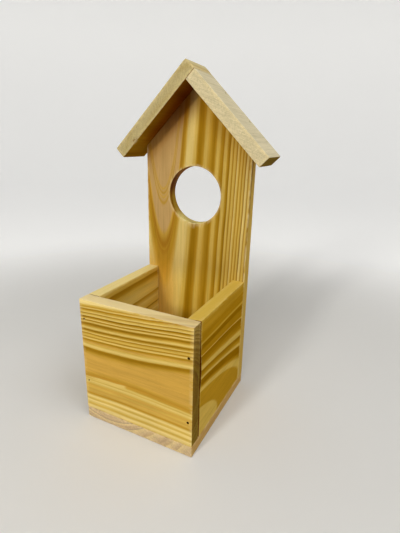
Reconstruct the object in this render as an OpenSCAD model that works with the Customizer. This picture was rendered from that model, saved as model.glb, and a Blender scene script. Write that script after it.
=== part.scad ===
// Birdhouse-shaped planter box: an open box of nailed pine boards with a tall gabled
// back board, a round entrance hole and a narrow two-board roof. Millimetres.
// X runs to the right, Y runs to the back and Z runs up. The origin is the middle of
// the base board's underside, on the surface that the box stands on.

/* [Body] */
// Width of the body
body_w = 140; // [110:1:200]
// Depth of the body, from the front panel's face to the back board's face
body_d = 152; // [110:1:220]
// Height of the open box, base board included
box_h = 154; // [120:1:190]
// Height of the back board's peak
peak_h = 380; // [340:1:460]

/* [Boards] */
// Thickness of the front panel
front_t = 15; // [10:0.5:20]
// Thickness of each side panel
side_t = 15; // [10:0.5:20]
// Thickness of the back board
back_t = 15; // [10:0.5:20]
// Thickness of the base board
base_t = 14; // [10:0.5:20]

/* [Entrance hole] */
// Diameter of the entrance hole
hole_d = 70; // [30:1:90]
// Height of the hole's centre
hole_h = 254.5; // [230:0.5:270]
// Distance from the board's centre line to the hole's centre, to the left
hole_left = 1.8; // [0:0.1:5]

/* [Roof] */
// Slope of both roof boards, in degrees
roof_pitch = 44.5; // [35:0.5:55]
// Thickness of the roof boards
roof_t = 14.5; // [10:0.5:20]
// Length of the left board's underside, from ridge to eave
left_slope_l = 118.5; // [100:0.5:150]
// Length of the right board's underside, from ridge to eave
right_slope_l = 123; // [100:0.5:150]
// How far the roof stands out in front of the back board
roof_front = 30; // [10:1:60]

/* [Brads] */
// Length of each brad
brad_l = 30; // [24:1:36]
// Diameter of the shank
brad_d = 1.4; // [1:0.1:2]
// Diameter of the head
brad_head_d = 2.2; // [1.6:0.1:3]
// Thickness of the head
brad_head_t = 1; // [0.6:0.1:1.5]
// Depth of each head's top below the face of the wood
brad_set = 1.2; // [0.4:0.1:2]
// Length of the brad's tapered point
brad_point_l = 2.5; // [1:0.5:4]

/* [Brad places] */
// From the front panel's left edge to its left brads
front_left_inset = 5.5; // [3:0.5:9]
// From the front panel's right edge to its right brads
front_right_inset = 5; // [3:0.5:9]
// From the box's rim down to the upper left front brad
front_left_drop = 23; // [15:1:50]
// From the base board up to the lower left front brad
front_left_rise = 38; // [20:1:50]
// From the box's rim down to the upper right front brad
front_right_drop = 34; // [15:1:50]
// From the base board up to the lower right front brad
front_right_rise = 30; // [20:1:50]
// From the box's rim down to the upper back brads
back_drop = 28; // [15:1:50]
// From the base board up to the lower back brads
back_rise = 34; // [20:1:50]
// From the front and rear faces to the base brads that hold the side panels
base_side_inset = 38; // [25:1:50]
// From the left and right faces to the base brads that hold the front and back
base_end_inset = 38; // [25:1:50]
// From the ridge to the upper roof brads, along the slope
roof_upper_inset = 30; // [20:1:40]
// From the wall's corner to the lower roof brads, along the slope
roof_lower_inset = 26; // [15:1:40]
// From the roof's front and rear edges to the ridge brads
ridge_inset = 12; // [8:1:18]

/* [Hidden] */

front_y = -body_d / 2;
rear_y = body_d / 2;
side_front_y = front_y + front_t;
back_front_y = rear_y - back_t;
half_w = body_w / 2;
wall_h = box_h - base_t;
side_l = back_front_y - side_front_y;
eaves_h = peak_h - half_w * tan(roof_pitch);
gable_l = half_w / cos(roof_pitch);
roof_l = back_t + roof_front;
roof_front_y = rear_y - roof_l;
back_mid_y = rear_y - back_t / 2;

// Unit directions in the X-Z plane: down each slope, and out of each upper face.
left_down = [-cos(roof_pitch), -sin(roof_pitch)];
right_down = [cos(roof_pitch), -sin(roof_pitch)];
left_out = [-sin(roof_pitch), cos(roof_pitch)];
right_out = [sin(roof_pitch), cos(roof_pitch)];
peak = [0, peak_h];
// The right board's upper end lies against the left board's underside, and the left
// board's end is flush with the right board's upper face. Both cuts are square at 45.
ridge_top = peak + roof_t * right_out + roof_t / tan(2 * roof_pitch) * right_down;
ridge_crown = ridge_top - roof_t / sin(2 * roof_pitch) * right_down;
ridge_brad_back = roof_t * (1 - cos(2 * roof_pitch) / 2) / sin(2 * roof_pitch);
ridge_brad_start = peak + roof_t / 2 * right_out - ridge_brad_back * right_down;

brad_fn = 24;
hole_fn = 96;
hole_clear = 1;

honey_pine = [0.80, 0.63, 0.30];
deep_pine = [0.74, 0.56, 0.24];
pale_pine = [0.84, 0.76, 0.58];
steel = [0.45, 0.44, 0.42];

// One brad, point down. Its origin is on the face that it was driven through.
module brad() {
    shank_l = brad_l - brad_head_t - brad_point_l;
    translate([0, 0, -brad_set - brad_l]) {
        cylinder(h = brad_point_l, d1 = brad_d / 5, d2 = brad_d, $fn = brad_fn);
        translate([0, 0, brad_point_l])
            cylinder(h = shank_l, d = brad_d, $fn = brad_fn);
        translate([0, 0, brad_point_l + shank_l])
            cylinder(h = brad_head_t, d = brad_head_d, $fn = brad_fn);
    }
}

// The hole that a brad leaves: the brad itself and the open pit above its head.
module brad_hole() {
    brad();
    translate([0, 0, -brad_set])
        cylinder(h = brad_set + hole_clear, d = brad_head_d, $fn = brad_fn);
}

module at_front_brads() {
    places = [[-half_w + front_left_inset, box_h - front_left_drop],
              [-half_w + front_left_inset, base_t + front_left_rise],
              [half_w - front_right_inset, box_h - front_right_drop],
              [half_w - front_right_inset, base_t + front_right_rise]];
    for (place = places)
        translate([place[0], front_y, place[1]]) rotate([90, 0, 0]) children();
}

module at_back_brads() {
    for (side = [-1, 1])
        for (height = [base_t + back_rise, box_h - back_drop])
            translate([side * (half_w - side_t / 2), rear_y, height])
                rotate([-90, 0, 0]) children();
}

module at_base_brads() {
    for (side = [-1, 1]) {
        for (y = [front_y + base_side_inset, rear_y - base_side_inset])
            translate([side * (half_w - side_t / 2), y, 0])
                rotate([180, 0, 0]) children();
        for (y = [front_y + front_t / 2, back_mid_y])
            translate([side * (half_w - base_end_inset), y, 0])
                rotate([180, 0, 0]) children();
    }
}

// A place on a roof board's upper face, a distance down the slope from the ridge.
module at_roof_brads(down, out, tilt) {
    for (distance = [roof_upper_inset, gable_l - roof_lower_inset]) {
        place = peak + distance * down + roof_t * out;
        translate([place[0], back_mid_y, place[1]]) rotate([0, tilt, 0]) children();
    }
}

module at_left_roof_brads() at_roof_brads(left_down, left_out, -roof_pitch) children();

module at_right_roof_brads() at_roof_brads(right_down, right_out, roof_pitch) children();

module at_ridge_brads() {
    for (y = [roof_front_y + ridge_inset, rear_y - ridge_inset])
        translate([ridge_brad_start[0], y, ridge_brad_start[1]])
            rotate([0, roof_pitch - 90, 0]) children();
}

// Extrudes an outline drawn in X and Z from one Y to another.
module profile(points, from_y, to_y) {
    translate([0, to_y, 0]) rotate([90, 0, 0])
        linear_extrude(height = to_y - from_y) polygon(points);
}

module base_board() {
    color(pale_pine) difference() {
        translate([-half_w, front_y, 0]) cube([body_w, body_d, base_t]);
        at_base_brads() brad_hole();
    }
}

module front_panel() {
    color(honey_pine) difference() {
        translate([-half_w, front_y, base_t]) cube([body_w, front_t, wall_h]);
        at_front_brads() brad_hole();
        at_base_brads() brad_hole();
    }
}

module side_panel(left_x) {
    difference() {
        translate([left_x, side_front_y, base_t]) cube([side_t, side_l, wall_h]);
        at_front_brads() brad_hole();
        at_back_brads() brad_hole();
        at_base_brads() brad_hole();
    }
}

module left_side_panel() {
    color(honey_pine) side_panel(-half_w);
}

module right_side_panel() {
    color(deep_pine) side_panel(half_w - side_t);
}

module back_board() {
    outline = [[-half_w, base_t], [half_w, base_t], [half_w, eaves_h], peak,
               [-half_w, eaves_h]];
    color(honey_pine) difference() {
        profile(outline, back_front_y, rear_y);
        translate([-hole_left, back_front_y - hole_clear, hole_h]) rotate([-90, 0, 0])
            cylinder(h = back_t + 2 * hole_clear, d = hole_d, $fn = hole_fn);
        at_back_brads() brad_hole();
        at_base_brads() brad_hole();
        at_left_roof_brads() brad_hole();
        at_right_roof_brads() brad_hole();
    }
}

module left_roof_board() {
    eave = peak + left_slope_l * left_down;
    outline = [eave, ridge_top, ridge_crown, eave + roof_t * left_out];
    color(pale_pine) difference() {
        profile(outline, roof_front_y, rear_y);
        at_left_roof_brads() brad_hole();
        at_ridge_brads() brad_hole();
    }
}

module right_roof_board() {
    eave = peak + right_slope_l * right_down;
    outline = [peak, eave, eave + roof_t * right_out, ridge_top];
    color(pale_pine) difference() {
        profile(outline, roof_front_y, rear_y);
        at_right_roof_brads() brad_hole();
        at_ridge_brads() brad_hole();
    }
}

module front_brads() { color(steel) at_front_brads() brad(); }

module back_brads() { color(steel) at_back_brads() brad(); }

module base_brads() { color(steel) at_base_brads() brad(); }

module left_roof_brads() { color(steel) at_left_roof_brads() brad(); }

module right_roof_brads() { color(steel) at_right_roof_brads() brad(); }

module ridge_brads() { color(steel) at_ridge_brads() brad(); }

base_board();
front_panel();
left_side_panel();
right_side_panel();
back_board();
left_roof_board();
right_roof_board();
front_brads();
back_brads();
base_brads();
left_roof_brads();
right_roof_brads();
ridge_brads();
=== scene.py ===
# %% [markdown]
# # A birdhouse-shaped planter box in bare pine
# The real thing is seven planed pine boards held together with wire brads. The boards are all
# flat, so what makes them look real is not their outline but three smaller things: the figure
# that the growth rings draw on each face, the slightly rounded arrises that sandpaper leaves,
# and the thin dark lines where two boards meet, which painted shade deepens. This lesson spends
# its cells on those three, and paints light and shade onto some faces.

# %% The frame, and short names for the tools
import math
import bmesh
import bpy
import numpy as np
from mathutils import Matrix, Vector, noise


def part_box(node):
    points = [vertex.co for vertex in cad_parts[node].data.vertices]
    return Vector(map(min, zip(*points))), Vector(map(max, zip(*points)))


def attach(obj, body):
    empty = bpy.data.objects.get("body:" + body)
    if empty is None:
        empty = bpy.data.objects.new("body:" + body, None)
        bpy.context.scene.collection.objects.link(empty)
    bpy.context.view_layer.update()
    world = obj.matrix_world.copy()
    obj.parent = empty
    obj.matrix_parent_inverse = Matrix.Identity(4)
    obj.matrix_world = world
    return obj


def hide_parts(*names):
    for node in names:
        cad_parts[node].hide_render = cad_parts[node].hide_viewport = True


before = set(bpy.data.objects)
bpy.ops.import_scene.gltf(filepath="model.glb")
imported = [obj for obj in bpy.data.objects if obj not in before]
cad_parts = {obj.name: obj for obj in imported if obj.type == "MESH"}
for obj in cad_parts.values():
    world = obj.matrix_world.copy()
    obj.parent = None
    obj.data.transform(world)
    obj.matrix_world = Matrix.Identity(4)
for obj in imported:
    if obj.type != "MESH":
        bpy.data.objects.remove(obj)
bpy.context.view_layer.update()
MM = 0.001

# %% [markdown]
# ## The camera
# The viewpoint comes first, because it says which faces deserve the most care. It stands in
# front of the box and to its right, a little below the roof's height, and looks down into the
# open box. A 25 mm lens this close gives the strong perspective that makes uprights lean.

# %% The camera
EYE = Vector((205.8, -350.5, 318.2)) * MM
TURNED_LEFT = 25.6
LOOKING_DOWN = 18.7
ROLL = 1.5
LENS = 25.0

lens = bpy.data.cameras.new("viewer")
lens.lens = LENS
lens.sensor_width = 36.0
lens.clip_start = 0.01
viewer = bpy.data.objects.new("viewer", lens)
bpy.context.scene.collection.objects.link(viewer)
aim = (Matrix.Rotation(math.radians(TURNED_LEFT), 4, "Z")
       @ Matrix.Rotation(math.radians(90 - LOOKING_DOWN), 4, "X")
       @ Matrix.Rotation(math.radians(ROLL), 4, "Z"))
viewer.matrix_world = Matrix.Translation(EYE) @ aim
bpy.context.scene.camera = viewer

# %% [markdown]
# ## A board's own directions
# Wood looks different along, across and through the board, so every board needs to know its
# own three directions. `along` follows the grain, `across` follows the width of the plank it
# was sawn from, and `through` is its thickness. Both the mesh and the wood figure use them.

# %% Directions for each board
class Board:
    """One board: where it starts, its grain directions and its size, all in millimetres."""

    def __init__(self, node, slot, start, along, across, through, low, high):
        self.node = node
        self.slot = slot
        self.start = Vector(start)
        self.along, self.across, self.through = (Vector(d) for d in (along, across, through))
        self.low, self.high = low, high

    def place(self, a, b, c):
        """A point of the board, from its distances along, across and through, in metres."""
        return (self.start + a * self.along + b * self.across + c * self.through) * MM


def box_mm(node):
    """A node's lowest and highest corners, in millimetres."""
    low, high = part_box(node)
    return Vector(low) / MM, Vector(high) / MM


X, Y, Z = Vector((1, 0, 0)), Vector((0, 1, 0)), Vector((0, 0, 1))


def upright_board(node, slot, along, across, through):
    """A board that lies square to the frame. Its faces are the node's own box."""
    low, high = box_mm(node)
    ends = [sorted((low.dot(d), high.dot(d))) for d in (along, across, through)]
    return Board(node, slot, (0, 0, 0), along, across, through,
                 [e[0] for e in ends], [e[1] for e in ends])


base = upright_board("base_board", "base_pine", Y, X, Z)
front = upright_board("front_panel", "front_pine", X, Z, Y)
left_side = upright_board("left_side_panel", "side_pine", Y, Z, X)
right_side = upright_board("right_side_panel", "side_pine", Y, Z, X)
back = upright_board("back_board", "back_pine", Z, X, Y)
print("front panel, along, across, through:", front.low, front.high)

# %% [markdown]
# The two roof boards are cut across the plank, so their grain runs from front to back and
# their front edges show end grain. Each slopes at 44.5 degrees, so the ridge is within a degree
# of a plain square joint: the left board laps over the right board's upper end.

# %% Directions for the roof boards
SLOPE = math.radians(44.5)
ROOF_THICKNESS = 14.5


def roof_board(node, side, lap):
    """A roof board on one side of the ridge. `lap` is how far it passes the ridge, uphill."""
    low, high = box_mm(node)
    peak = box_mm("back_board")[1].z
    down = Vector((side * math.cos(SLOPE), 0, -math.sin(SLOPE)))
    out = Vector((side * math.sin(SLOPE), 0, math.cos(SLOPE)))
    reach = max(abs(low.x), abs(high.x))
    eave = (reach - ROOF_THICKNESS * math.sin(SLOPE)) / math.cos(SLOPE)
    return Board(node, "roof_pine", (0, 0, peak), Y, down, out,
                 [low.y, -lap, 0.0], [high.y, eave, ROOF_THICKNESS])


left_roof = roof_board("left_roof_board", -1, ROOF_THICKNESS / math.sin(2 * SLOPE))
right_roof = roof_board("right_roof_board", 1, 0.0)
print("roof slopes, ridge to eave:", round(left_roof.high[1], 1), round(right_roof.high[1], 1), "mm")

# %% [markdown]
# ## Planed boards with sanded arrises
# A fresh-sawn edge is sharp, but a hand with sandpaper takes it off unevenly: hardly at all in
# one place, more at the corners. A bevel modifier would round every edge by the same amount, so
# instead each board is a fine grid whose outer points are pulled onto a rounded box, and the
# radius of that rounding wanders along the edge.

# %% Grid lines that crowd towards the arrises
def cut_lines(low, high, radius, pitch):
    """Places of the grid lines on one side: three close to each arris, the rest evenly spread."""
    near = [radius * (1 - math.tan(math.radians(a))) for a in (45, 30, 15, 0)]
    steps = max(1, round((high - low - 2 * radius) / pitch))
    middle = [low + radius + (high - low - 2 * radius) * i / steps for i in range(1, steps)]
    return [low + n for n in near] + middle + [high - n for n in reversed(near)]


def wander(point, size, seed):
    """Smooth noise between -1 and 1 that changes over about `size` millimetres."""
    return noise.noise(Vector(point) / size + Vector((seed * 7.3, seed * 3.1, seed * 5.7)))


# %% The rounded box
def new_piece(name, mesh):
    """A new object for a mesh, linked to the scene."""
    piece = bpy.data.objects.new(name, mesh)
    bpy.context.scene.collection.objects.link(piece)
    return piece


def mark_arrises(mesh, closeness):
    """Stores each point's closeness to an arris, for the wood's wear."""
    layer = mesh.attributes.new("arris", "FLOAT", "POINT")
    layer.data.foreach_set("value", closeness)


FACE_SIDES = ((1, 2), (2, 0), (0, 1))


def rounded(point, low, high, radius):
    """Moves a point of a sharp box onto the same box with rounded arrises."""
    inner = [min(max(p, lo + radius), hi - radius) for p, lo, hi in zip(point, low, high)]
    off = Vector(p - q for p, q in zip(point, inner))
    if off.length < 1e-9:
        return Vector(point)
    return Vector(inner) + off * (radius / off.length)


WEAR_REACH = 3.0


def arris_closeness(point, low, high):
    """1 on an arris, falling to 0 at a distance of WEAR_REACH."""
    gaps = sorted(min(p - lo, hi - p) for p, lo, hi in zip(point, low, high))
    return max(0.0, 1.0 - gaps[1] / WEAR_REACH)


def board_mesh(board, name, arris, pitch, seed, shape=None):
    """A closed grid mesh of a board with worn arrises. `shape` may move points further."""
    lines = [cut_lines(lo, hi, arris, pitch) for lo, hi in zip(board.low, board.high)]
    count = [len(line) - 1 for line in lines]
    corners, places, closeness, quads = {}, [], [], []

    def corner(key):
        if key not in corners:
            point = [lines[axis][key[axis]] for axis in range(3)]
            uneven = 0.45 * wander(point, 23.0, seed) + 0.25 * wander(point, 7.0, seed + 1)
            radius = arris * (1.0 + uneven)
            moved = rounded(point, board.low, board.high, max(radius, 0.25 * arris))
            if shape:
                moved = shape(Vector(point), moved)
            corners[key] = len(places)
            places.append(board.place(*moved))
            closeness.append(arris_closeness(point, board.low, board.high))
        return corners[key]

    for axis, (first, second) in enumerate(FACE_SIDES):
        for end in (0, count[axis]):
            for i in range(count[first]):
                for j in range(count[second]):
                    loop = []
                    for di, dj in ((0, 0), (1, 0), (1, 1), (0, 1)):
                        key = [0, 0, 0]
                        key[axis], key[first], key[second] = end, i + di, j + dj
                        loop.append(corner(tuple(key)))
                    quads.append(loop if end else loop[::-1])
    turned = board.along.cross(board.across).dot(board.through) < 0
    mesh = bpy.data.meshes.new(name)
    mesh.from_pydata(places, [], [q[::-1] for q in quads] if turned else quads)
    mark_arrises(mesh, closeness)
    return new_piece(name, mesh)


# %% [markdown]
# ## The brads
# A brad is a short wire nail. Hand pressure and a punch drive its head a millimetre below the
# face, and all that shows is a small dark pit. The brads' places are read from the CAD frame:
# every loose part of a brad node is one nail, and its wider end is the head.

# %% Finding each brad in the frame
def loose_parts(obj):
    """The separate solids of a CAD node, each as an array of its points in millimetres."""
    mesh = obj.data
    points = np.array([tuple(obj.matrix_world @ v.co) for v in mesh.vertices]) / MM
    spots = {}
    label = np.arange(len(points))
    for i, p in enumerate(np.round(points, 3)):
        label[i] = spots.setdefault(tuple(p), i)
    parent = list(range(len(points)))

    def root(i):
        while parent[i] != i:
            parent[i] = parent[parent[i]]
            i = parent[i]
        return i

    for edge in mesh.edges:
        a, b = (root(int(label[v])) for v in edge.vertices)
        parent[a] = b
    groups = {}
    for i in range(len(points)):
        groups.setdefault(root(int(label[i])), []).append(points[i])
    return [np.array(group) for group in groups.values()]


def brad_sites(node):
    """(top of the head, direction from point to head, length) for each brad of a node."""
    sites = []
    for points in loose_parts(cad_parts[node]):
        middle = points.mean(axis=0)
        axis = np.linalg.svd(points - middle)[2][0]
        run = (points - middle) @ axis
        spread = np.linalg.norm(points - middle - np.outer(run, axis), axis=1)
        if run[spread.argmax()] < 0:
            axis, run = -axis, -run
        centre = (points.max(axis=0) + points.min(axis=0)) / 2
        run = (points - centre) @ axis
        sites.append((Vector(centre + axis * run.max()), Vector(axis), float(np.ptp(run))))
    return sites


BRAD_NODES = ["front_brads", "back_brads", "base_brads",
              "left_roof_brads", "right_roof_brads", "ridge_brads"]
sites = {node: brad_sites(node) for node in BRAD_NODES}
print("brads found:", {node: len(found) for node, found in sites.items()})

# %% Nail holes cut into a board
HEAD_R, SHANK_R, HEAD_T = 1.1, 0.7, 1.0
PIT_R, DRILL_R = 1.4, 0.78
LEFT_PIT_SHARE = 0.82
# How far round a right-hand brad's axis the painted pit shade reaches.
PIT_SHADE_REACH = 2.2


def lathe(mesh, rings, centre, axis, lump=0.0, sides=14):
    """Adds a turned solid to a bmesh: `rings` are (height, radius) pairs along the axis."""
    turn = axis.to_track_quat("Z", "Y")
    loops = []
    for height, radius in rings:
        loop = []
        for k in range(sides):
            angle = 2 * math.pi * k / sides
            r = radius * (1 + lump * wander((k * 3.0, height, centre.x), 4.0, 11))
            spot = centre + turn @ Vector((r * math.cos(angle), r * math.sin(angle), height))
            loop.append(mesh.verts.new(spot * MM))
        loops.append(loop)
    for low, high in zip(loops, loops[1:]):
        for k in range(sides):
            mesh.faces.new((low[k], low[(k + 1) % sides], high[(k + 1) % sides], high[k]))
    mesh.faces.new(loops[0][::-1])
    mesh.faces.new(loops[-1])


def cut_nail_holes(piece, nodes):
    """Cuts the shank holes and the open pits of the given brads out of a board."""
    tool = bmesh.new()
    for node in nodes:
        for top, axis, length in sites[node]:
            pit = PIT_R * (1.0 if top.x > 0 else LEFT_PIT_SHARE)
            lathe(tool, [(-length - 0.3, DRILL_R), (-HEAD_T - 0.1, DRILL_R), (-HEAD_T, pit),
                         (4.0, pit * 1.15)], top, axis, lump=0.08)
    mesh = bpy.data.meshes.new("nail_holes")
    tool.to_mesh(mesh)
    tool.free()
    cutter = new_piece("nail_holes", mesh)
    change = piece.modifiers.new("nail_holes", "BOOLEAN")
    change.object = cutter
    change.operation = "DIFFERENCE"
    change.solver = "EXACT"
    ready = piece.evaluated_get(bpy.context.evaluated_depsgraph_get())
    holed = bpy.data.meshes.new_from_object(ready)
    piece.modifiers.clear()
    piece.data = holed
    bpy.data.objects.remove(cutter)


def shade_pit_walls(piece, nodes):
    """Gives the walls of the right-hand nail holes the board's second material, a painted shade."""
    for face in piece.data.polygons:
        for node in nodes:
            for top, axis, length in [site for site in sites[node] if site[0].x > 0]:
                off = face.center / MM - top
                height = off.dot(axis)
                if (off - axis * height).length < PIT_SHADE_REACH and -length - 1.0 < height < 1.0:
                    face.material_index = 1


def finish_mesh(piece, sharp=38.0):
    """Smooth shading, with a hard edge wherever two faces meet at more than `sharp` degrees."""
    shape = bmesh.new()
    shape.from_mesh(piece.data)
    for edge in shape.edges:
        edge.smooth = len(edge.link_faces) == 2 and edge.calc_face_angle(0) < math.radians(sharp)
    for face in shape.faces:
        face.smooth = True
    shape.to_mesh(piece.data)
    shape.free()


# %% [markdown]
# ## The back board, with its gable and its hole
# A box grid can't follow a gable and a round hole. This board is lofted instead: one closed
# section, a thin rounded strip from the hole's wall to the outer edge and back, is carried once
# round the hole. Its outer end follows the gabled outline, so the faces are clean quads that
# fan out from the hole, and both the rim and the outline get their own rounded arris.

# %% Points round the outline, seen from the hole's centre
HOLE_R, HOLE_HEIGHT, HOLE_LEFT = 35.0, 254.5, 1.8


def gabled_outline(board):
    """The corners of the back board as (height, sideways) pairs, anticlockwise."""
    foot, peak = board.low[0], board.high[0]
    left, right = board.low[1], board.high[1]
    shoulder = peak - right * math.tan(SLOPE)
    return [(foot, left), (shoulder, left), (peak, 0.0), (shoulder, right), (foot, right)]


def rays_to_outline(corners, centre, count, radius):
    """For each ray from the hole's centre: its angle, where it meets the outline, and the inward
    mitre there. Corners get rays of their own, so that they stay sharp."""
    c = Vector(centre)
    corners = [Vector(p) for p in corners]
    own = [math.atan2(*(p - c).yx) % math.tau for p in corners]
    angles = [math.tau * k / count for k in range(count)]
    angles = [a for a in angles if min(abs(a - o) for o in own) > 0.02]
    rays = []
    sides = list(zip(corners, corners[1:] + corners[:1]))
    normals = [Vector((-(q - p).y, (q - p).x)).normalized() for p, q in sides]
    for angle in sorted(angles + own):
        direction = Vector((math.cos(angle), math.sin(angle)))
        if angle in own:
            k = own.index(angle)
            n1, n2 = normals[k - 1], normals[k]
            rays.append((angle, corners[k], (n1 + n2) / (1 + n1.dot(n2))))
            continue
        for (p, q), normal in zip(sides, normals):
            reach = (p - c).dot(normal) / direction.dot(normal) if direction.dot(normal) < 0 else -1
            spot = c + direction * reach
            along = (spot - p).dot((q - p).normalized())
            if reach > radius and 0 <= along <= (q - p).length:
                rays.append((angle, spot, normal))
                break
    return rays


# %% The lofted back board
def gabled_board_mesh(board, name, arris, seed, rays_count=132):
    """The back board as one closed loft round its hole."""
    centre = Vector((HOLE_HEIGHT, -HOLE_LEFT))
    corners = gabled_outline(board)
    rays = rays_to_outline(corners, centre, rays_count, HOLE_R)
    face_steps = [0.03, 0.07, 0.13, 0.2, 0.3, 0.4, 0.5, 0.6, 0.7, 0.8, 0.87, 0.93, 0.97, 0.99]
    arc = [math.radians(a) for a in (0, 22.5, 45, 67.5, 90)]
    front_y, rear_y = board.low[2], board.high[2]
    wall = [front_y + (rear_y - front_y) * f for f in (0.25, 0.5, 0.75)]
    places, closeness, quads = [], [], []
    for angle, edge, mitre in rays:
        out = Vector((math.cos(angle), math.sin(angle)))
        spot = (edge.x, edge.y, 0.0)
        r_out = arris * (1.0 + 0.5 * wander(spot, 25.0, seed) + 0.25 * wander(spot, 8.0, seed + 1))
        ring = centre + out * HOLE_R
        r_in = 1.3 * arris * (1.0 + 0.4 * wander((ring.x, ring.y, 0.0), 12.0, seed + 2))
        near, far = ring + out * r_in, edge + mitre * r_out
        half = [(ring + out * r_in * (1 - math.cos(a)), r_in * (1 - math.sin(a))) for a in arc]
        half += [(near.lerp(far, t), 0.0) for t in face_steps]
        half += [(edge + mitre * r_out * (1 - math.sin(a)), r_out * (1 - math.cos(a))) for a in arc]
        section = [(p, front_y + d) for p, d in half]
        section += [(edge, y) for y in wall]
        section += [(p, rear_y - d) for p, d in reversed(half)]
        section += [(ring, y) for y in reversed(wall)]
        for p, y in section:
            places.append(board.place(p.x, p.y, y))
            to_face = min(y - front_y, rear_y - y)
            to_edge = (p - ring).length
            if edge.x <= corners[1][0]:
                to_edge = min(to_edge, (p - edge).length)
            closeness.append(max(0.0, 1.0 - max(to_face, to_edge) / WEAR_REACH))
        size = len(section)
    for k in range(len(rays)):
        nxt = (k + 1) % len(rays)
        for m in range(size):
            n = (m + 1) % size
            quads.append((k * size + m, nxt * size + m, nxt * size + n, k * size + n))
    mesh = bpy.data.meshes.new(name)
    mesh.from_pydata(places, [], quads)
    mark_arrises(mesh, closeness)
    check = bmesh.new()
    check.from_mesh(mesh)
    if check.calc_volume(signed=True) < 0:
        bmesh.ops.reverse_faces(check, faces=check.faces)
        check.to_mesh(mesh)
    check.free()
    return new_piece(name, mesh)


# %% [markdown]
# ## Wood as a solid
# Pine is a stack of cones: each year the tree adds a ring, pale in spring and dark in late
# summer. A flat cut through those cones gives straight lines at the board's sides and nested
# arches in its middle. So the ring figure is not painted on a face. It is worked out from each
# point's distance to the tree's centre line (the pith), which makes the figure run truly from a
# face over an arris and onto the end grain. Painted light and shade are laid over it, face by face.

# %% A short hand for wiring shader nodes
def linear(tone):
    """An 8-bit screen colour as the linear values that a shader wants."""
    return [((c / 255 + 0.055) / 1.055) ** 2.4 if c > 10 else c / 255 / 12.92 for c in tone] + [1.0]


class Wiring:
    """Adds nodes to one material and joins their sockets."""

    def __init__(self, name):
        self.material = bpy.data.materials.new(name)
        self.material.use_nodes = True
        self.nodes = self.material.node_tree.nodes
        self.links = self.material.node_tree.links
        self.nodes.clear()
        self.shader = self.nodes.new("ShaderNodeBsdfPrincipled")
        out = self.nodes.new("ShaderNodeOutputMaterial")
        self.links.new(self.shader.outputs[0], out.inputs["Surface"])

    def feed(self, socket, value):
        if isinstance(value, bpy.types.NodeSocket):
            self.links.new(value, socket)
        else:
            socket.default_value = value

    def math(self, how, a, b=0.0, c=0.0, clamp=False):
        node = self.nodes.new("ShaderNodeMath")
        node.operation, node.use_clamp = how, clamp
        for socket, value in zip(node.inputs, (a, b, c)):
            self.feed(socket, value)
        return node.outputs[0]

    def times(self, a, b, *more):
        product = self.math("MULTIPLY", a, b)
        return self.times(product, *more) if more else product

    def plus(self, a, b):
        return self.math("ADD", a, b)

    def minus(self, a, b):
        return self.math("SUBTRACT", a, b)

    def line(self, value, slope, start):
        """value * slope + start."""
        return self.math("MULTIPLY_ADD", value, slope, start)

    def vector(self, how, a, b):
        node = self.nodes.new("ShaderNodeVectorMath")
        node.operation = how
        self.feed(node.inputs[0], a)
        self.feed(node.inputs[1], b)
        return node.outputs["Value" if how == "DOT_PRODUCT" else "Vector"]

    def join(self, x, y, z):
        node = self.nodes.new("ShaderNodeCombineXYZ")
        for socket, value in zip(node.inputs, (x, y, z)):
            self.feed(socket, value)
        return node.outputs[0]

    def noise(self, at, detail=2.0, rough=0.5):
        node = self.nodes.new("ShaderNodeTexNoise")
        self.feed(node.inputs["Vector"], at)
        node.inputs["Scale"].default_value = 1.0
        node.inputs["Detail"].default_value = detail
        node.inputs["Roughness"].default_value = rough
        return node.outputs["Fac"]

    def swing(self, at, size, detail=2.0):
        """Noise from about -size to size."""
        return self.math("MULTIPLY", self.math("SUBTRACT", self.noise(at, detail), 0.5), 2.5 * size)

    def step(self, value, low, high):
        """0 below low, 1 above high, and smooth between."""
        node = self.nodes.new("ShaderNodeMapRange")
        node.interpolation_type = "SMOOTHSTEP"
        for socket, given in zip(node.inputs, (value, low, high, 0.0, 1.0)):
            self.feed(socket, given)
        return node.outputs[0]

    def fade(self, value, low, high):
        """1 below low, 0 above high, and smooth between."""
        return self.minus(1.0, self.step(value, low, high))

    def scaled(self, at, size):
        """A place, multiplied by one number."""
        return self.vector("MULTIPLY", at, (size,) * 3)

    def relief(self, height, strength, distance):
        """Feeds a bump, in metres, to the shader's normal."""
        node = self.nodes.new("ShaderNodeBump")
        node.inputs["Strength"].default_value = strength
        node.inputs["Distance"].default_value = distance
        self.feed(node.inputs["Height"], height)
        self.feed(self.shader.inputs["Normal"], node.outputs["Normal"])

    def mix(self, amount, first, second, how="MIX"):
        node = self.nodes.new("ShaderNodeMix")
        node.data_type, node.blend_type = "RGBA", how
        self.feed(node.inputs["Factor"], amount)
        self.feed(node.inputs[6], first)
        self.feed(node.inputs[7], second)
        return node.outputs[2]

    def ramp(self, value, stops):
        node = self.nodes.new("ShaderNodeValToRGB")
        bar = node.color_ramp
        bar.elements[0].position, bar.elements[0].color = stops[0]
        bar.elements[1].position, bar.elements[1].color = stops[-1]
        for position, colour in stops[1:-1]:
            bar.elements.new(position).color = colour
        self.feed(node.inputs[0], value)
        return node.outputs[0]


# %% [markdown]
# ## One pine recipe for every board
# `Rings` holds where the pith lies from one board's point of view. A reading such as `at(20)`
# names the ring that crosses the reference row 20 mm across, and `tip(255)` names the ring whose
# arch comes to its point 255 mm along. Colours are then given ring by ring.

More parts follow.
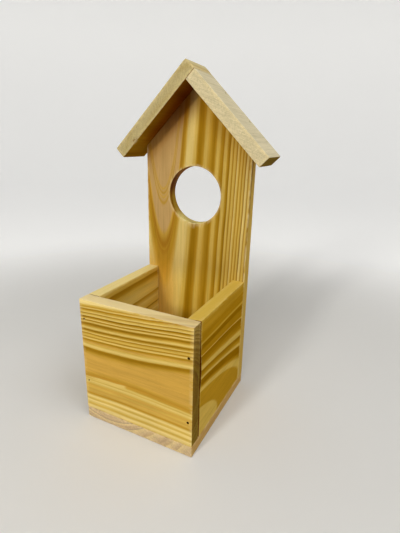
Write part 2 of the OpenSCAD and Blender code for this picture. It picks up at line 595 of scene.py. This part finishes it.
# %% Where the growth rings lie
class Rings:
    """Growth rings: the pith's place across, its depth below the face, and how both drift."""

    def __init__(self, row, pith, depth, opening=0.0, bow=0.0, lean=0.0, both_sides=False, face=1):
        self.row, self.pith, self.depth, self.opening, self.bow = row, pith, depth, opening, bow
        self.lean, self.both_sides, self.face = lean, both_sides, face

    def at(self, across):
        """The ring that crosses the reference row at this place."""
        off = across - self.pith
        size = math.hypot(off, self.depth)
        return -size if self.both_sides and off < 0 else size

    def tip(self, along):
        """The ring whose arch comes to its point at this place."""
        return math.sqrt(max(self.depth ** 2 + self.opening * (along - self.row), 0.0))

    def figure(self, w, board, along, across, through, nudges):
        """The shader's ring number at any point of the board."""
        run = w.minus(along, self.row)
        off = w.minus(across, self.pith)
        off = w.minus(off, w.times(run, self.lean))
        for nudge in nudges:
            off = w.plus(off, nudge)
        drift = w.times(run, w.line(run, self.bow, self.opening))
        from_face = w.minus(through, board.low[2] if self.face > 0 else board.high[2])
        deep = w.line(from_face, float(self.face), self.depth)
        square = w.line(off, off, w.line(deep, deep, drift))
        size = w.math("SQRT", w.math("MAXIMUM", square, 1.0))
        return w.times(size, w.math("SIGN", off)) if self.both_sides else size


# %% The tones of bare pine, from sapwood to latewood
CREAM = (232, 204, 130)
STRAW = (220, 190, 108)
GOLD = (206, 169, 76)
TOFFEE = (203, 158, 70)
HONEY = (194, 151, 54)
AMBER = (178, 134, 34)
BROWN = (156, 112, 12)
BARK = (136, 96, 6)
RUST = (164, 114, 26)
TAN = (190, 152, 90)
MOST_STOPS = 30


def ring_colours(w, ring, readings):
    """Colours by ring. A ramp holds few stops, so a long list is split over several ramps."""
    readings = sorted(readings)
    colour = None
    for first in range(0, max(len(readings) - 1, 1), MOST_STOPS - 1):
        part = readings[first:first + MOST_STOPS]
        low, high = part[0][0], part[-1][0]
        spot = w.math("DIVIDE", w.minus(ring, low), high - low, clamp=True)
        piece = w.ramp(spot, [((r - low) / (high - low), linear(t)) for r, t in part])
        later = w.math("GREATER_THAN", ring, low)
        colour = piece if colour is None else w.mix(later, colour, piece)
    return colour


# %% Tints for single faces: mostly painted light and shade, and a few tone corrections
def tint(direction, tone, share=1.0):
    """Multiplies the colour of the faces that look one way: mostly painted light and shade, and a few tone
    corrections.
    """
    return direction, "MULTIPLY", share, (*tone, 1.0)


def painted_top_light(tone):
    """Painted light on a board's upper edge: the colour half mixed toward a paler tone."""
    return Z, "MIX", 0.5, linear(tone)


# %% The recipe
END_GRAIN = (186, 158, 104)


def pine(name, board, rings, readings, end_grain=END_GRAIN, end_share=0.6, face_tints_and_painted_light=(), nudge=None,
         sway=1.2, patches=(), gloss=0.02, wear=0.45, saw_marks=(0.9, 0.72), seed=1.0):
    """A pine material for one board. `face_tints_and_painted_light` tone single faces, mostly as painted
    light and shade: (direction, how, amount, colour).
    """
    w = Wiring(name)
    place = w.nodes.new("ShaderNodeTexCoord")
    normal = place.outputs["Normal"]
    spot = w.vector("SUBTRACT", w.scaled(place.outputs["Object"], 1 / MM), board.start)
    along, across, through = (w.vector("DOT_PRODUCT", spot, d)
                              for d in (board.along, board.across, board.through))

    def grained(length, width, shift=0.0):
        """A noise place that is stretched along the grain."""
        return w.join(w.line(along, 1 / length, seed + shift),
                      w.line(across, 1 / width, 2 * seed),
                      w.line(through, 1 / width, 3 * seed))

    nudges = [w.swing(grained(70, 38), sway), w.swing(grained(24, 9, 5), 0.22 * sway)]
    if nudge:
        nudges.append(nudge(w, along, across))
    ring = rings.figure(w, board, along, across, through, nudges)
    colour = ring_colours(w, ring, readings)
    for mask_of, tone in patches:
        colour = w.mix(mask_of(w, along, across, through, ring), colour, linear(tone))

    mottle = w.swing(grained(60, 14, 9), 1.0)
    colour = w.mix(w.step(mottle, -1.0, 1.0), w.mix(1.0, colour, linear((244, 243, 240)), "MULTIPLY"),
                   w.mix(1.0, colour, (1.07, 1.06, 1.03, 1.0), "MULTIPLY"))
    fibre = w.noise(grained(22, 0.55), 4.0, 0.6)
    streak = w.noise(grained(60, 2.2, 3), 3.0, 0.55)
    shade = w.plus(w.times(fibre, 0.34), w.times(streak, 0.42))
    shade = w.plus(shade, 0.62)
    colour = w.mix(1.0, colour, w.join(shade, shade, w.math("POWER", shade, 1.3)), "MULTIPLY")
    canal = w.step(w.noise(grained(5.0, 0.42, 7), 0.0), 0.74, 0.80)
    colour = w.mix(w.times(canal, 0.28), colour, linear(BARK))

    facing_end = w.math("ABSOLUTE", w.vector("DOT_PRODUCT", normal, board.along))
    is_end = w.step(facing_end, 0.5, 0.9)
    pores = w.noise(w.scaled(spot, 1.3), 3.0, 0.75)
    saw = w.noise(w.join(w.times(along, 0.2),
                         w.plus(w.times(across, saw_marks[0]),
                                w.times(through, saw_marks[1])),
                         w.times(through, 0.12)), 2.0, 0.6)
    clumps = w.noise(w.scaled(spot, 0.45), 2.0, 0.8)
    speckle = w.plus(w.times(pores, 0.75), w.times(saw, 0.65))
    speckle = w.plus(speckle, w.times(clumps, 0.6))
    end = w.mix(end_share, colour, linear(end_grain))
    end = w.mix(1.0, end, w.join(speckle, speckle, speckle), "MULTIPLY")
    colour = w.mix(is_end, colour, end)
    worn = w.nodes.new("ShaderNodeAttribute")
    worn.attribute_name = "arris"
    rub = w.times(worn.outputs["Fac"], w.step(w.noise(grained(9, 3, 13), 2.0), 0.3, 0.65))
    colour = w.mix(w.times(rub, wear), colour, linear((236, 214, 158)))
    # Face tints: most of them paint light or shade onto the faces that look one way.
    for direction, how, amount, tone in face_tints_and_painted_light:
        toward = w.step(w.vector("DOT_PRODUCT", normal, direction), 0.6, 0.9)
        share = amount(w, along, across, through) if callable(amount) else amount
        colour = w.mix(w.times(toward, share), colour, tone, how)
    w.feed(w.shader.inputs["Base Color"], colour)
    w.shader.inputs["Specular IOR Level"].default_value = gloss

    rough = w.line(fibre, 0.22, 0.40)
    rough = w.plus(rough, w.times(is_end, 0.22))
    w.feed(w.shader.inputs["Roughness"], w.plus(rough, w.times(rub, 0.1)))
    relief = w.plus(w.times(fibre, 0.6), w.times(streak, 0.5))
    end_relief = w.plus(pores, saw)
    height = w.line(w.minus(end_relief, relief), is_end, relief)
    w.relief(height, 0.6, 0.3 * MM)
    return w.material


# %% [markdown]
# ## The front panel's figure
# This board was sawn just off the pith. A smooth toffee-coloured band runs along its middle,
# closed above by one strong dark line, and many fine rings crowd its upper third.

# %% Front panel
front_rings = Rings(row=0, pith=80, depth=17.2, opening=-1.4, bow=-0.0275, lean=0.055, both_sides=True)
front_readings = [
    (14, GOLD), (16, STRAW), (17.5, CREAM), (19, CREAM), (20.7, GOLD), (22.5, GOLD), (24, STRAW),
    (26.5, CREAM), (28.5, GOLD), (29.8, GOLD), (31, STRAW), (32.5, CREAM), (34, STRAW), (35.3, HONEY),
    (37, AMBER), (38.4, TOFFEE), (40, GOLD), (42.3, TOFFEE), (44.8, GOLD), (48, TOFFEE), (50.5, GOLD),
    (52.5, STRAW), (54, STRAW), (55, GOLD), (57, STRAW), (58, GOLD), (59.2, HONEY), (63, (188, 138, 44)),
    (66, HONEY), (70, TOFFEE), (79, TOFFEE), (89, TOFFEE), (92, HONEY), (94, AMBER), (96.5, BROWN),
    (98.8, BROWN), (99.9, GOLD), (101.5, STRAW), (103, STRAW), (104.5, GOLD), (107.5, TOFFEE),
    (109, AMBER), (110.6, BROWN), (111.2, GOLD), (112.4, STRAW), (113.7, AMBER), (114.4, BROWN),
    (115, GOLD), (116.5, GOLD), (118, AMBER), (118.8, BROWN), (119.4, STRAW), (120.4, GOLD),
    (121.6, AMBER), (123, BARK), (123.8, AMBER), (125.4, STRAW), (127, GOLD), (128.4, AMBER),
    (130.4, BARK), (131.6, AMBER), (132.6, STRAW), (133.4, GOLD), (134.3, BROWN), (135, BROWN),
    (135.7, STRAW), (137.3, HONEY), (138.5, BROWN), (139.6, BARK), (140.2, STRAW), (142, GOLD),
    (143.4, BROWN), (144.1, STRAW), (145.5, GOLD), (147, AMBER), (148.4, BROWN), (149.2, STRAW),
    (150.6, HONEY), (151.3, AMBER), (152.2, GOLD), (153.4, GOLD), (154, CREAM)]


def pale_step(w, along, across, through, ring):
    """The pale band is wider on the left, and steps down where an old branch pushed the rings."""
    wave = w.swing(w.join(w.times(along, 0.05), w.times(across, 0.2), 0.0), 1.0)
    edge = w.plus(across, wave)
    left = w.step(w.minus(0.0, along), 10.0, 16.0)
    low = w.step(edge, 56.0, 57.5)
    high = w.fade(w.minus(edge, w.times(along, 0.07)), 61.6, 63.2)
    return w.times(w.times(left, low), w.times(high, 0.9))


def painted_end_shade(w, along, across, through):
    """Share of the painted shade on the right end grain: strongest low down, and weaker by the top edge."""
    return w.line(w.step(across, 108.0, 150.0), -0.45, 1.0)


def level_out(w, along, across):
    """The rings below the smooth band run nearly level, and those above it rise faster."""
    below = w.fade(across, 40.0, 80.0)
    above = w.step(across, 98.0, 125.0)
    lean = w.minus(w.times(below, 0.036), w.times(above, 0.02))
    return w.times(along, lean)


front_pine = pine("front_pine", front, front_rings,
                  [(front_rings.at(z), tone) for z, tone in front_readings],
                  end_grain=(150, 122, 62), end_share=0.55, patches=[(pale_step, STRAW)],
                  nudge=level_out,
                  # Painted light on the top edge, and painted shade on the right end grain.
                  face_tints_and_painted_light=[painted_top_light((238, 222, 176)),
                         tint(-Y, (0.94, 0.96, 0.96)),
                         tint(X, (0.42, 0.36, 0.09), painted_end_shade)],
                  gloss=0.04, wear=0.38, seed=1.0)
print("front panel:", len(front_readings), "rings named")

# %% [markdown]
# ## The back board's figure
# A flat-sawn board: nested arches point down on its left, a pale band sweeps past the hole, and
# towards the right edge the rings stand closer and closer together.

# %% Back board
back_rings = Rings(row=195, pith=-46, depth=42.0, opening=-5.8)
back_tips = [
    (395, TAN), (300, TAN), (262, TAN), (259.5, HONEY), (257, TAN), (254, AMBER), (251.5, TAN),
    (248.5, HONEY), (246, TAN), (241, AMBER), (238, TAN), (222, TAN), (206, TAN), (199, HONEY),
    (187, RUST), (179, AMBER)]
back_readings = [
    (-37.5, RUST), (-35.5, RUST), (-33.5, AMBER), (-31, AMBER), (-29, HONEY), (-27, GOLD), (-25, STRAW),
    (-19, STRAW), (-15, STRAW), (-11, GOLD), (-9, GOLD), (-7.2, AMBER), (-5, BROWN), (-1, BROWN),
    (2.8, AMBER), (5, GOLD), (8, GOLD), (10.5, HONEY), (13, AMBER), (18, BROWN), (20.4, AMBER),
    (22.3, GOLD), (25, GOLD), (27.5, AMBER), (31.4, BROWN), (32.4, GOLD), (35.2, GOLD), (37, AMBER),
    (39.6, BARK), (40.6, GOLD), (42, GOLD), (44.2, BROWN), (45, GOLD), (46.8, GOLD), (48.8, BROWN),
    (49.6, STRAW), (51.2, GOLD), (53, BROWN), (53.8, GOLD), (55, GOLD), (57, BROWN), (57.8, GOLD),
    (59, GOLD), (60.8, BARK), (61.6, STRAW), (63.2, STRAW), (65, BROWN), (65.8, GOLD), (67.2, GOLD),
    (69.2, BARK), (70, GOLD)]


def below_slope(w, along, across):
    """Roughly how far a point lies below the nearer slope."""
    drop = w.minus(w.minus(back.high[0], along), w.math("ABSOLUTE", across))
    return w.times(drop, 0.7)


def painted_roof_shadow(w, along, across, through, ring):
    """Painted shadow of the roof on the board: deepest close under the slopes, most of all on the left."""
    left = w.step(w.times(across, -1.0), 0.0, 12.0)
    below = below_slope(w, along, across)
    near_left = w.fade(below, 6.0, 26.0)
    near_right = w.fade(below, 2.0, 40.0)
    return w.math("MAXIMUM", w.times(near_left, left, 0.6),
                  w.times(near_right, 0.32))


def painted_ridge_shadow(w, along, across, through, ring):
    """Painted shadow in the corner under the ridge, left of the middle: the deepest red-brown."""
    left = w.step(w.times(across, -1.0), -14.0, 6.0)
    below = below_slope(w, along, across)
    near = w.fade(below, 2.0, 32.0)
    high = w.times(w.step(along, 308, 358), 0.75)
    return w.times(near, left, high)


def resin_tone_and_painted_fill(w, along, across, through, ring):
    """The board's lower left: painted fill light that lifts the shade of the left panel, and the warmer
    resin tone of the wood there.
    """
    left = w.step(w.times(across, -1.0), 18.0, 42.0)
    low = w.fade(along, 140.0, 200.0)
    return w.times(left, low, 0.55)


def painted_fill_in_box(w, along, across, through):
    """1 on the part of the board inside the box, which gets painted light against the shade of the walls.
    """
    return w.fade(along, 128.0, 172.0)


def in_the_hole(w, along, across, through):
    """1 on the wall of the entrance hole, 0 on the rest of the board."""
    up = w.minus(along, HOLE_HEIGHT)
    sideways = w.plus(across, HOLE_LEFT)
    squared = w.line(up, up, w.times(sideways, sideways))
    return w.math("LESS_THAN", squared, (HOLE_R + 2.0) ** 2)


back_pine = pine("back_pine", back, back_rings,
                 [(back_rings.tip(z), tone) for z, tone in back_tips]
                 + [(back_rings.at(x), tone) for x, tone in back_readings],
                 end_grain=(196, 164, 104), sway=0.8,
                 # Painted shadow under the roof, deepest under the ridge, then painted fill light with a
                 # warmer resin tone on the lower left.
                 patches=[(painted_roof_shadow, (150, 92, 2)), (painted_ridge_shadow, (92, 34, 2)),
                          (resin_tone_and_painted_fill, (204, 142, 40))],
                 # Painted shade on the faces that look right, a tone correction on the front face, painted
                 # light inside the box, and painted light and shade on the hole's wall by the way it faces.
                 face_tints_and_painted_light=[tint(X, (0.84, 0.83, 0.74)),
                        tint(-Y, (0.90, 0.93, 1.06)),
                        tint(-Y, (1.32, 1.34, 1.1), painted_fill_in_box),
                        tint(X, (0.7, 0.58, 0.16), in_the_hole),
                        tint(Z, (1.3, 1.6, 1.8), in_the_hole),
                        tint(Vector((0.75, 0, -0.66)), (0.42, 0.24, 0.1), in_the_hole)],
                 wear=0.6, seed=2.0)
print("back board:", len(back_tips) + len(back_readings), "rings named")

# %% [markdown]
# ## The two side panels' figures
# The right panel shows a pale heart at its lower front and light bands that fall towards the
# rear. The left panel comes from another plank, with straighter rings.

# %% Right side panel
right_rings = Rings(row=0, pith=20, depth=30, opening=25, lean=0.05, face=-1)
PALE = (222, 190, 124)
right_readings = [
    (40, HONEY), (44, HONEY), (52, HONEY), (55, HONEY), (57.8, HONEY),
    (59.5, PALE), (64, PALE), (66.2, HONEY), (70, BROWN), (77, BROWN), (78.4, PALE), (80, PALE),
    (82, HONEY), (85, AMBER), (89, BROWN), (90.5, PALE), (95, PALE), (97.5, HONEY), (100, AMBER),
    (108, BROWN), (110, BROWN), (111, PALE), (112, AMBER), (115, AMBER), (117.5, AMBER),
    (119, AMBER), (121, BROWN), (125.8, BROWN),
    (127.2, GOLD), (128.4, GOLD), (130, AMBER), (139, AMBER), (142, HONEY), (152, HONEY), (154, GOLD)]


def straighten(w, along, across):
    """Brings the upper rings of the right panel level."""
    lift = w.step(across, 98.0, 128.0)
    return w.times(w.times(along, -0.06), lift)


right_pine = pine("right_side_pine", right_side, right_rings,
                  [(right_rings.tip(y), tone) for y, tone in ((-34, PALE), (-12, PALE), (-8, HONEY))]
                  + [(right_rings.at(z), tone) for z, tone in right_readings],
                  nudge=straighten, end_grain=(150, 118, 60),
                  # Painted light on the top edge, painted shade on the outer face, and painted shade on the
                  # front end inside the open joint.
                  face_tints_and_painted_light=[painted_top_light((216, 184, 78)),
                         tint(X, (0.84, 0.8, 0.4)),
                         tint(-Y, (0.3, 0.13, 0.03))],
                  sway=1.0, gloss=0.0, seed=3.0)

# %% Left side panel
left_rings = Rings(row=0, pith=64, depth=34, opening=-2.0, lean=0.03, face=-1)
left_readings = [
    (64, STRAW), (74, STRAW), (79, GOLD), (82, AMBER), (83, GOLD), (92, STRAW), (98, GOLD), (101, BROWN),
    (102, GOLD), (112, STRAW), (117, HONEY), (119.5, AMBER), (121, STRAW), (130, STRAW), (138, GOLD),
    (141, AMBER), (145.5, BROWN), (147.5, GOLD), (151, GOLD), (154, CREAM)]
left_pine = pine("left_side_pine", left_side, left_rings,
                 [(left_rings.at(z), tone) for z, tone in left_readings],
                 # Painted light on the top edge and on the inner face, and painted shade on the front end
                 # in the joint.
                 face_tints_and_painted_light=[painted_top_light((238, 222, 152)),
                        tint(X, (1.22, 1.27, 1.05)),
                        tint(-Y, (0.3, 0.15, 0.04))],
                 sway=1.4, gloss=0.02, seed=4.0)

# %% [markdown]
# ## The base and the roof, where end grain shows
# The base board's front edge is end grain: arcs of one tree, with the saw's fuzz over them. The
# roof boards are of a paler, greyer plank that nobody has handled yet.

# %% Base and roof
base_rings = Rings(row=-76, pith=-40, depth=70, opening=6, face=-1)
base_readings = [(68, TAN), (71.5, TAN), (73, BROWN), (74, TAN), (76.5, TAN), (78, BARK), (79, STRAW),
                 (81.5, TAN), (82.8, BROWN), (83.6, TAN), (85.8, BARK), (87, STRAW), (93, TAN), (96, AMBER),
                 (97.5, STRAW), (104, TAN), (108, BROWN), (109.5, TAN), (113, AMBER), (114.5, STRAW),
                 (120, TAN), (122.5, AMBER), (123.5, STRAW), (131, TAN)]
base_pine = pine("base_pine", base, base_rings, base_readings,
                 end_grain=(202, 186, 162), end_share=0.45, gloss=0.0, seed=5.0)

ASH, SAND, OAT = (208, 194, 150), (190, 168, 112), (213, 199, 156)
left_roof_rings = Rings(row=31, pith=45, depth=95, opening=4)
left_roof_tones = [ASH, OAT, SAND, ASH, OAT, ASH, SAND] * 3
left_roof_readings = [(90 + 4.4 * k, tone) for k, tone in enumerate(left_roof_tones)]


def toward_ridge(w, along, across, through):
    """1 at the ridge, falling to 0 at the eave."""
    return w.fade(across, 20.0, 90.0)


def toward_wall(w, along, across, through):
    """0 at the roof's front edge, 1 where it meets the back board, and little near the eave."""
    deep = w.step(along, left_roof.low[0] + 2.0, back.low[2] - 4.0)
    return w.times(deep, w.line(w.step(across, 80.0, 105.0), -0.8, 1.0))


left_roof_pine = pine("left_roof_pine", left_roof, left_roof_rings, left_roof_readings,
                      end_grain=(160, 142, 92), end_share=0.75,
                      # Painted shade on the underside, deeper towards the back board and redder towards the
                      # ridge.
                      face_tints_and_painted_light=[tint(-left_roof.through, (0.48, 0.3, 0.03)),
                             tint(-left_roof.through, (0.72, 0.42, 0.12), toward_wall),
                             tint(-left_roof.through, (0.62, 0.42, 0.3), toward_ridge)],
                      gloss=0.0, seed=6.0)
right_roof_rings = Rings(row=31, pith=-30, depth=45, opening=4, lean=0.2)
right_roof_tones = [ASH, OAT, OAT, ASH, OAT, ASH, OAT] * 4
right_roof_readings = [(40 + 3.7 * k, tone) for k, tone in enumerate(right_roof_tones)]
right_roof_pine = pine("right_roof_pine", right_roof, right_roof_rings, right_roof_readings,
                       end_grain=(190, 175, 140), end_share=0.6,
                       # Painted light on the top face, brighter and cooler, and painted shade on the eave
                       # end.
                       face_tints_and_painted_light=[tint(right_roof.through, (1.07, 1.11, 1.32)),
                              tint(right_roof.across, (0.28, 0.2, 0.06))],
                       gloss=0.0, saw_marks=(-0.43, 0.9), seed=7.0)

# %% [markdown]
# ## Painted shade in the nail pits
# The walls of the right-hand nail holes are painted near-black brown, for the shade deep in the pits.

# %% Painted shade in the nail pits
def painted_pit_shade():
    """Painted shade for the walls of the nail holes: near-black brown with a fine fuzz."""
    w = Wiring("pit_shade_pine")
    spot = w.nodes.new("ShaderNodeTexCoord").outputs["Object"]
    fuzz = w.noise(w.scaled(spot, 2500.0), 3.0, 0.7)
    w.feed(w.shader.inputs["Base Color"], w.mix(fuzz, linear((44, 24, 2)), linear((84, 50, 8))))
    w.shader.inputs["Specular IOR Level"].default_value = 0.02
    w.feed(w.shader.inputs["Roughness"], w.line(fuzz, 0.2, 0.7))
    w.relief(fuzz, 0.5, 0.2 * MM)
    return w.material


pit_shade_wood = painted_pit_shade()
print("second material:", pit_shade_wood.name)

# %% [markdown]
# ## Building the boards
# Each board gets its mesh, its nail holes and its finish, then takes the place of its CAD node.

# %% Small departures from a perfect board
def bump_at(value, centre, width):
    """A smooth hill, 1 at the centre and 0 a width away."""
    t = max(0.0, 1.0 - abs(value - centre) / width)
    return t * t * (3 - 2 * t)


def open_joint(point, moved):
    """The right panel's front end was planed away at its outer corner, so the joint gapes."""
    from_end = point.x - right_side.low[0]
    from_face = right_side.high[2] - point.z
    if from_end > 3.0 or from_face > 7.0:
        return moved
    gap = 1.2 + 3.0 * bump_at(point.y, 95, 30) + 0.9 * bump_at(point.y, 35, 30)
    gap *= 1.0 - 0.6 * bump_at(point.y, 142, 16)
    moved.x += gap * (1.0 if from_face < 5.0 else 0.5) * (1 - from_end / 3.0)
    return moved


def tight_joint(point, moved):
    """The left panel's joint is tight: its front end stands back a little, and painted shade on that end
    shows as a dark hair line.
    """
    from_end = point.x - left_side.low[0]
    if from_end < 3.0:
        moved.x += 0.55 * (1 - from_end / 3.0)
    return moved


def ridge_cut(board, moved):
    """Both boards' upper ends are cut a degree off square, so that the joint closes."""
    share = 1.0 - (moved.y - board.low[1]) / (board.high[1] - board.low[1])
    moved.y += moved.z * share / math.tan(2 * SLOPE)
    return moved


def right_roof_shape(point, moved):
    """The right roof board only needs its ridge cut."""
    return ridge_cut(right_roof, moved)


CROWN_R = 3.0


def left_roof_shape(point, moved):
    """The left roof board's crown is blunted, and its lower front arris has lost a splinter."""
    crown = Vector((left_roof.low[1] + CROWN_R, left_roof.high[2] - CROWN_R))
    off = Vector((moved.y, moved.z)) - crown
    if off.x < 0 < off.y and off.length > CROWN_R:
        moved.y, moved.z = crown + off.normalized() * CROWN_R
    from_front = point.x - left_roof.low[0]
    depth = 4.0 * bump_at(point.y, 93, 7.5) * max(0.0, 1 - from_front / 5) * max(0.0, 1 - point.z / 5)
    moved.x += 0.7 * depth
    moved.z += depth
    return ridge_cut(left_roof, moved)


# %% From board to finished piece
def fit_board(board, piece, material, brads, pit_wall=pit_shade_wood):
    """Drills a board for its brads, gives it its finish and puts it in its CAD node's place."""
    cut_nail_holes(piece, brads)
    piece.data.materials.clear()
    piece.data.materials.append(material)
    piece.data.materials.append(pit_wall)
    shade_pit_walls(piece, brads)
    finish_mesh(piece)
    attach(piece, "root")
    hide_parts(board.node)
    print(piece.name, "has", len(piece.data.polygons), "faces")


SIDE_BRADS = ["front_brads", "back_brads", "base_brads"]
GRID = 4.0
fit_board(base, board_mesh(base, "base_of_pine", 1.1, GRID, 1), base_pine, ["base_brads"])
fit_board(front, board_mesh(front, "front_of_pine", 0.8, GRID, 2), front_pine,
          ["front_brads", "base_brads"])
for board, name, seed, joint, wood in (
        (left_side, "left_side_of_pine", 3, tight_joint, left_pine),
        (right_side, "right_side_of_pine", 4, open_joint, right_pine)):
    fit_board(board, board_mesh(board, name, 0.8, GRID, seed, joint), wood, SIDE_BRADS)
fit_board(back, gabled_board_mesh(back, "back_of_pine", 0.9, 5), back_pine,
          ["back_brads", "base_brads", "left_roof_brads", "right_roof_brads"])
ROOF_GRID = 3.0
for board, name, seed, shape, wood, brads in (
        (left_roof, "left_roof_of_pine", 6, left_roof_shape, left_roof_pine, "left_roof_brads"),
        (right_roof, "right_roof_of_pine", 7, right_roof_shape, right_roof_pine, "right_roof_brads")):
    fit_board(board, board_mesh(board, name, 0.9, ROOF_GRID, seed, shape), wood,
              [brads, "ridge_brads"], wood)

# %% [markdown]
# ## Steel brads
# Each brad is turned, as the real one is drawn and headed: a ground point, a plain shank with
# three grip rings under the head, and a slightly domed head.

# %% The steel
def brad_steel():
    """Browned wire, brighter where the punch has rubbed it."""
    w = Wiring("brad_steel")
    spot = w.nodes.new("ShaderNodeTexCoord").outputs["Object"]
    grime = w.noise(w.scaled(spot, 900.0), 3.0, 0.6)
    drawn = w.noise(w.vector("MULTIPLY", spot, (4000.0, 4000.0, 400.0)), 2.0, 0.5)
    worn = w.step(grime, 0.35, 0.7)
    w.feed(w.shader.inputs["Base Color"], w.mix(worn, linear((66, 42, 20)), linear((104, 76, 44))))
    w.shader.inputs["Metallic"].default_value = 1.0
    w.feed(w.shader.inputs["Roughness"], w.line(grime, -0.3, 0.62))
    w.relief(w.plus(drawn, grime), 0.4, 0.05 * MM)
    return w.material


steel = brad_steel()


# %% The brads
def brad_rings(length):
    """A brad's outline, as (height below its head's top, radius) pairs from point to head."""
    rings = [(-length, 0.08), (-length + 0.8, 0.3), (-length + 2.5, SHANK_R), (-length + 4, SHANK_R)]
    for groove in (4.2, 3.2, 2.2):
        rings += [(-groove, SHANK_R), (-groove + 0.2, SHANK_R - 0.09), (-groove + 0.4, SHANK_R)]
    rings += [(-HEAD_T - 0.05, SHANK_R), (-HEAD_T, HEAD_R - 0.1), (-HEAD_T + 0.12, HEAD_R)]
    return rings + [(-0.3, HEAD_R), (-0.1, HEAD_R - 0.15), (0.0, HEAD_R - 0.55)]


for node in BRAD_NODES:
    turned = bmesh.new()
    for top, axis, length in sites[node]:
        lathe(turned, brad_rings(length), top, axis)
    mesh = bpy.data.meshes.new(node + "_of_steel")
    turned.to_mesh(mesh)
    turned.free()
    mesh.materials.append(steel)
    brads = new_piece(node + "_of_steel", mesh)
    finish_mesh(brads)
    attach(brads, "root")
    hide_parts(node)
print("brads turned:", sum(len(found) for found in sites.values()))

# %% [markdown]
# ## The floor and the light
# A pale floor sweeps up into a round wall, so that no horizon shows from any side. One soft key
# from the front left draws the roof's shadow on the back board, and painted shadow in the board's
# wood deepens it. A large overhead light fills the box and brightens the upper edges, which also
# carry painted light, and the pale world keeps the shaded side open.

# %% A round cove
def cove(floor_r, bend_r, height, sides=96):
    """A floor disc that bends up into a round wall."""
    rings = [(floor_r * f, 0.0) for f in (0.25, 0.5, 0.75, 1.0)]
    for k in range(1, 13):
        turn = math.radians(7.5 * k)
        rings.append((floor_r + bend_r * math.sin(turn), bend_r * (1 - math.cos(turn))))
    rings.append((floor_r + bend_r, height))
    points = [(0.0, 0.0, 0.0)]
    for radius, z in rings:
        points += [(radius * math.cos(math.tau * k / sides), radius * math.sin(math.tau * k / sides), z)
                   for k in range(sides)]
    faces = [(0, 1 + k, 1 + (k + 1) % sides) for k in range(sides)]
    for ring in range(len(rings) - 1):
        a, b = 1 + ring * sides, 1 + (ring + 1) * sides
        faces += [(a + k, b + k, b + (k + 1) % sides, a + (k + 1) % sides) for k in range(sides)]
    mesh = bpy.data.meshes.new("cove")
    mesh.from_pydata(points, [], faces)
    for face in mesh.polygons:
        face.use_smooth = True
    obj = new_piece("cove", mesh)
    return obj


backdrop = cove(2.4, 1.2, 5.6)
WALL_GLOW = 0.33
paper = Wiring("pale_paper")
paper.shader.inputs["Base Color"].default_value = linear((225, 224, 221))
paper.shader.inputs["Roughness"].default_value = 0.85
paper.shader.inputs["Specular IOR Level"].default_value = 0.2
paper.shader.inputs["Emission Color"].default_value = (0.985, 0.99, 1.0, 1.0)
paper_spot = paper.nodes.new("ShaderNodeTexCoord").outputs["Object"]
from_middle = paper.nodes.new("ShaderNodeVectorMath")
from_middle.operation = "LENGTH"
paper.feed(from_middle.inputs[0], paper_spot)
behind = paper.step(paper.vector("DOT_PRODUCT", paper_spot, (-0.43, 0.90, 0.0)), -0.1, 0.7)
glow = paper.times(paper.step(from_middle.outputs["Value"], 0.35, 0.9), WALL_GLOW)
glow = paper.times(glow, paper.line(behind, 0.7, 0.3))
height = paper.vector("DOT_PRODUCT", paper_spot, (0.0, 0.0, 1.0))
glow = paper.times(glow, paper.line(paper.step(height, 2.0, 3.2), -0.8, 1.0))
paper.feed(paper.shader.inputs["Emission Strength"], glow)
backdrop.data.materials.append(paper.material)


# %% Lights
def soft_light(name, position, target, size, watts, tone):
    """A square softbox aimed at a point."""
    data = bpy.data.lights.new(name, "AREA")
    data.size = size
    data.energy = watts
    data.color = tone
    lamp = new_piece(name, data)
    lamp.location = position
    lamp.rotation_euler = (Vector(target) - Vector(position)).to_track_quat("-Z", "Y").to_euler()


soft_light("key", (-0.36, -2.15, 1.19), (0.0, 0.0, 0.19), 0.32, 21.5, (1.0, 0.99, 0.96))
soft_light("high", (0.1, -1.7, 2.0), (0.0, 0.0, 0.2), 1.0, 15.0, (1.0, 0.99, 0.97))
soft_light("overhead", (1.2, -0.3, 2.0), (0.0, 0.0, 0.2), 1.2, 15.5, (1.0, 0.99, 0.97))

world = bpy.data.worlds.new("pale_room")
world.use_nodes = True
world.node_tree.nodes["Background"].inputs["Color"].default_value = (1.0, 0.99, 0.97, 1.0)
world.node_tree.nodes["Background"].inputs["Strength"].default_value = 0.02
bpy.context.scene.world = world
bpy.context.scene.view_settings.view_transform = "Standard"
